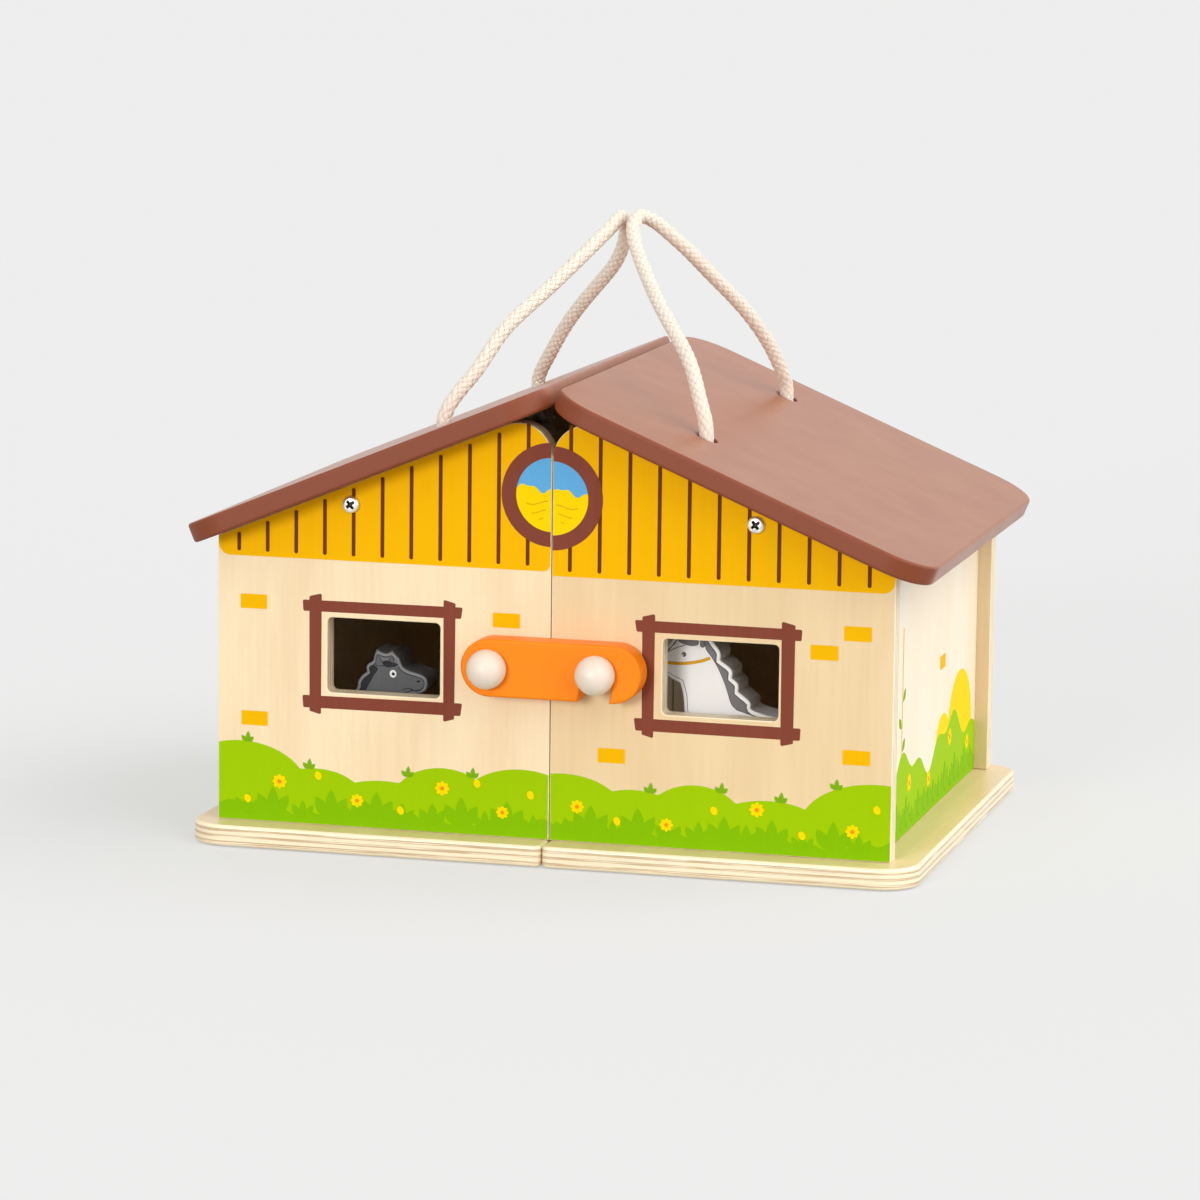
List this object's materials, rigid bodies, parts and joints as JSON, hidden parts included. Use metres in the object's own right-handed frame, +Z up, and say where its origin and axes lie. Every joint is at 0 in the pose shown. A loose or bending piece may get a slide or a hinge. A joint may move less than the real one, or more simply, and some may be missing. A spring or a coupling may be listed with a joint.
{
  "type": "toy barn with opening doors",
  "caption": "Wooden carry-along toy barn: plywood halves hinged at the back swing open, a front hook holds them shut, rope handles pass through the roof boards.",
  "frame": {"origin": "on the floor under the barn, on the seam between its halves, midway between the front of the latch knobs and the back edge of the base", "axes": "+Z up; the front with its windows and latch looks along -Y; +X towards the right half as seen from the front"},
  "size_m": [0.318, 0.2458, 0.2607],
  "materials": {
    "birch_ply": "clear satin lacquer over pale birch plywood",
    "roof_paint": "satin brown paint on plywood",
    "orange_paint": "satin orange paint on solid wood",
    "knob_paint": "gloss cream paint on turned wood",
    "screw_steel": "bright zinc plate",
    "hinge_steel": "nickel plate",
    "cotton_rope": "braided undyed cotton",
    "grey_paint": "printed grey on wood",
    "white_paint": "printed white on wood"
  },
  "bodies": {
    "left_half": {"left_base": "birch_ply", "left_front_wall": "birch_ply", "left_back_wall": "birch_ply", "left_side_wall": "birch_ply", "left_roof": "roof_paint", "left_roof_batten": "birch_ply", "left_base_screw_1": "screw_steel", "left_base_screw_2": "screw_steel", "left_base_screw_3": "screw_steel", "left_base_screw_4": "screw_steel", "left_base_screw_5": "screw_steel", "left_wall_screw_1": "screw_steel", "left_wall_screw_2": "screw_steel", "left_hinge_leaf_1": "hinge_steel", "left_hinge_leaf_2": "hinge_steel", "left_hinge_screw_1": "screw_steel", "left_hinge_screw_2": "screw_steel", "left_hinge_screw_3": "screw_steel", "left_hinge_screw_4": "screw_steel", "left_handle_cord": "cotton_rope", "left_handle_knot_1": "cotton_rope", "left_handle_knot_2": "cotton_rope", "hinge_pin_1": "hinge_steel", "hinge_pin_2": "hinge_steel", "pivot_knob": "knob_paint", "grey_horse": "grey_paint"},
    "right_half": {"right_base": "birch_ply", "right_front_wall": "birch_ply", "right_back_wall": "birch_ply", "right_side_wall": "birch_ply", "right_roof": "roof_paint", "right_roof_batten": "birch_ply", "right_base_screw_1": "screw_steel", "right_base_screw_2": "screw_steel", "right_base_screw_3": "screw_steel", "right_base_screw_4": "screw_steel", "right_base_screw_5": "screw_steel", "right_wall_screw_1": "screw_steel", "right_wall_screw_2": "screw_steel", "right_hinge_leaf_1": "hinge_steel", "right_hinge_leaf_2": "hinge_steel", "right_hinge_screw_1": "screw_steel", "right_hinge_screw_2": "screw_steel", "right_hinge_screw_3": "screw_steel", "right_hinge_screw_4": "screw_steel", "right_handle_cord": "cotton_rope", "right_handle_knot_1": "cotton_rope", "right_handle_knot_2": "cotton_rope", "catch_knob": "knob_paint", "white_horse": "white_paint"},
    "latch_hook": {"latch_hook": "orange_paint"}
  },
  "joints": [
    {"name": "barn_opening", "type": "hinge", "parent": "left_half", "child": "right_half", "pos_m": [0, 0.1196, 0.083], "axis": [0, 0, 1], "range_deg": [0, 140]},
    {"name": "latch_swing", "type": "hinge", "parent": "left_half", "child": "latch_hook", "pos_m": [-0.023, -0.1057, 0.082], "axis": [0, -1, 0], "range_deg": [0, 180]}
  ]
}
